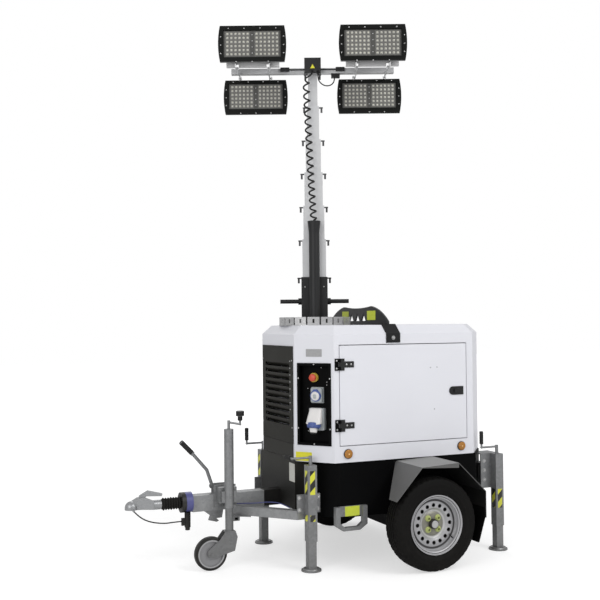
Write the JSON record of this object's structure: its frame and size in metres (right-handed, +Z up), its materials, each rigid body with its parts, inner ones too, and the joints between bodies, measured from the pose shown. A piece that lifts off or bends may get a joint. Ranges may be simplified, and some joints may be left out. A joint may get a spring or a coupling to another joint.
{
  "type": "mobile light tower",
  "caption": "Towed light tower: white generator canopy on a single-axle chassis with jacks, telescopic mast and LED lamps.",
  "frame": {"origin": "on the ground, under the middle of the overall box", "axes": "+Z up, -X towards the coupling, -Y the near side with the control panel"},
  "size_m": [2.4875, 1.58, 3.4735],
  "materials": {
    "galvanised_steel": "hot-dip galvanised, spangled and slightly dull",
    "black_steel": "black powder coat, satin",
    "grey_steel": "dark grey powder coat, fine texture",
    "white_steel": "white powder coat, semi-gloss",
    "ring_steel": "pale grey zinc plated steel",
    "aluminium": "natural anodised extrusion",
    "lamp_black": "black die-cast housing",
    "black_plastic": "black moulded plastic",
    "rubber": "black rubber, matt",
    "blue_sheath": "blue cable sheath, smooth",
    "tyre": "black tyre rubber",
    "jockey_wheel": "solid rubber on a pressed steel disc",
    "rim_silver": "silver painted pressed steel",
    "red_plastic": "red moulded plastic",
    "outlet_plastic": "grey moulded plastic",
    "amber_plastic": "amber lens",
    "engine_grey": "grey painted casting"
  },
  "bodies": {
    "root": {"drawbar_beam": "galvanised_steel", "drawbar_legs": "galvanised_steel", "overrun_ring": "black_plastic", "bellows": "rubber", "coupling_head": "galvanised_steel", "drawbar_fittings": "galvanised_steel", "jockey_tube": "galvanised_steel", "base_tank": "black_steel", "front_cover": "grey_steel", "engine_block": "engine_grey", "canopy_front": "white_steel", "canopy_rear": "white_steel", "side_frames": "white_steel", "roof": "white_steel", "louvre_panel": "grey_steel", "control_panel": "black_steel", "stop_button": "red_plastic", "outlets": "outlet_plastic", "lifting_arch": "black_steel", "arch_straps": "black_steel", "index_ring": "ring_steel", "axle_beam": "black_steel", "mudguards": "grey_steel", "mud_flaps": "rubber", "jack_tubes_front": "galvanised_steel", "jack_tubes_rear": "galvanised_steel", "marker_lamps": "amber_plastic", "forklift_loops": "galvanised_steel", "hinge_leaves": "black_steel", "breakaway_cable": "rubber", "brake_wire": "blue_sheath"},
    "wheel_near": {"tyre_near": "tyre", "rim_near": "rim_silver"},
    "wheel_far": {"tyre_far": "tyre", "rim_far": "rim_silver"},
    "door_near": {"door_near": "white_steel"},
    "door_far": {"door_far": "white_steel"},
    "jockey_leg": {"jockey_leg": "galvanised_steel"},
    "jockey_fork": {"jockey_fork": "galvanised_steel"},
    "jockey_wheel": {"jockey_wheel": "jockey_wheel"},
    "mast_base": {"mast_base": "black_steel", "curly_cord": "rubber"},
    "mast_head": {"mast_section_6": "aluminium", "crossbar": "aluminium", "junction_box": "black_plastic", "lamp_lead": "rubber"},
    "jack_leg_front_near": {"jack_leg_front_near": "galvanised_steel"},
    "jack_leg_front_far": {"jack_leg_front_far": "galvanised_steel"},
    "jack_leg_rear_near": {"jack_leg_rear_near": "galvanised_steel"},
    "jack_leg_rear_far": {"jack_leg_rear_far": "galvanised_steel"},
    "mast_section_1": {"mast_section_1": "aluminium"},
    "mast_section_2": {"mast_section_2": "aluminium"},
    "mast_section_3": {"mast_section_3": "aluminium"},
    "mast_section_4": {"mast_section_4": "aluminium"},
    "mast_section_5": {"mast_section_5": "aluminium"},
    "lamp_upper_left": {"lamp_upper_left": "lamp_black"},
    "lamp_upper_right": {"lamp_upper_right": "lamp_black"},
    "lamp_lower_left": {"lamp_lower_left": "lamp_black"},
    "lamp_lower_right": {"lamp_lower_right": "lamp_black"}
  },
  "joints": [
    {"name": "wheel_near_spin", "type": "hinge", "parent": "root", "child": "wheel_near", "pos_m": [0.5, -0.705, 0.289], "axis": [0, 1, 0], "continuous": true},
    {"name": "wheel_far_spin", "type": "hinge", "parent": "root", "child": "wheel_far", "pos_m": [0.5, 0.705, 0.289], "axis": [0, 1, 0], "continuous": true},
    {"name": "door_near_hinge", "type": "hinge", "parent": "root", "child": "door_near", "pos_m": [-0.011, -0.493, 1.078], "axis": [0, 0, -1], "range_deg": [0, 115]},
    {"name": "door_far_hinge", "type": "hinge", "parent": "root", "child": "door_far", "pos_m": [-0.011, 0.493, 1.078], "axis": [0, 0, 1], "range_deg": [0, 115]},
    {"name": "jack_front_near_slide", "type": "slide", "parent": "root", "child": "jack_leg_front_near", "axis": [0, 0, 1], "range_m": [-0.15, 0.13]},
    {"name": "jack_front_far_slide", "type": "slide", "parent": "root", "child": "jack_leg_front_far", "axis": [0, 0, 1], "range_m": [-0.15, 0.13]},
    {"name": "jack_rear_near_slide", "type": "slide", "parent": "root", "child": "jack_leg_rear_near", "axis": [0, 0, 1], "range_m": [-0.15, 0.13]},
    {"name": "jack_rear_far_slide", "type": "slide", "parent": "root", "child": "jack_leg_rear_far", "axis": [0, 0, 1], "range_m": [-0.15, 0.13]},
    {"name": "jockey_slide", "type": "slide", "parent": "root", "child": "jockey_leg", "axis": [0, 0, 1], "range_m": [-0.2, 0.06]},
    {"name": "jockey_swivel", "type": "hinge", "parent": "jockey_leg", "child": "jockey_fork", "pos_m": [-0.614, -0.126, 0.236], "axis": [0, 0, 1], "continuous": true},
    {"name": "jockey_wheel_spin", "type": "hinge", "parent": "jockey_fork", "child": "jockey_wheel", "pos_m": [-0.738, -0.126, 0.104], "axis": [0, 1, 0], "continuous": true},
    {"name": "mast_turn", "type": "hinge", "parent": "root", "child": "mast_base", "pos_m": [0.045, 0, 1.519], "axis": [0, 0, 1], "range_deg": [-170, 170]},
    {"name": "section_1_slide", "type": "slide", "parent": "mast_base", "child": "mast_section_1", "axis": [0, 0, 1], "range_m": [-0.1593, 0.851]},
    {"name": "section_2_slide", "type": "slide", "parent": "mast_base", "child": "mast_section_2", "axis": [0, 0, 1], "range_m": [-0.3177, 1.701]},
    {"name": "section_3_slide", "type": "slide", "parent": "mast_base", "child": "mast_section_3", "axis": [0, 0, 1], "range_m": [-0.476, 2.551]},
    {"name": "section_4_slide", "type": "slide", "parent": "mast_base", "child": "mast_section_4", "axis": [0, 0, 1], "range_m": [-0.6343, 3.401]},
    {"name": "section_5_slide", "type": "slide", "parent": "mast_base", "child": "mast_section_5", "axis": [0, 0, 1], "range_m": [-0.7927, 4.251]},
    {"name": "mast_lift", "type": "slide", "parent": "mast_base", "child": "mast_head", "axis": [0, 0, 1], "range_m": [-0.95, 5.1], "deforming": ["curly_cord"]},
    {"name": "lamp_upper_left_tilt", "type": "hinge", "parent": "mast_head", "child": "lamp_upper_left", "pos_m": [-0.37595, 0.02322, 3.213], "axis": [0.9135, -0.4067, 0], "range_deg": [-15, 60]},
    {"name": "lamp_upper_right_tilt", "type": "hinge", "parent": "mast_head", "child": "lamp_upper_right", "pos_m": [0.34393, -0.29729, 3.213], "axis": [0.9135, -0.4067, 0], "range_deg": [-15, 60]},
    {"name": "lamp_lower_left_tilt", "type": "hinge", "parent": "mast_head", "child": "lamp_lower_left", "pos_m": [-0.25393, 0.29729, 3.228], "axis": [0.9135, -0.4067, 0], "range_deg": [-15, 60]},
    {"name": "lamp_lower_right_tilt", "type": "hinge", "parent": "mast_head", "child": "lamp_lower_right", "pos_m": [0.46595, -0.02322, 3.228], "axis": [0.9135, -0.4067, 0], "range_deg": [-15, 60]}
  ],
  "couplings": [
    {"joint": "section_1_slide", "follows": "mast_lift", "ratio": 0.16667},
    {"joint": "section_2_slide", "follows": "mast_lift", "ratio": 0.33333},
    {"joint": "section_3_slide", "follows": "mast_lift", "ratio": 0.5},
    {"joint": "section_4_slide", "follows": "mast_lift", "ratio": 0.66667},
    {"joint": "section_5_slide", "follows": "mast_lift", "ratio": 0.83333}
  ]
}
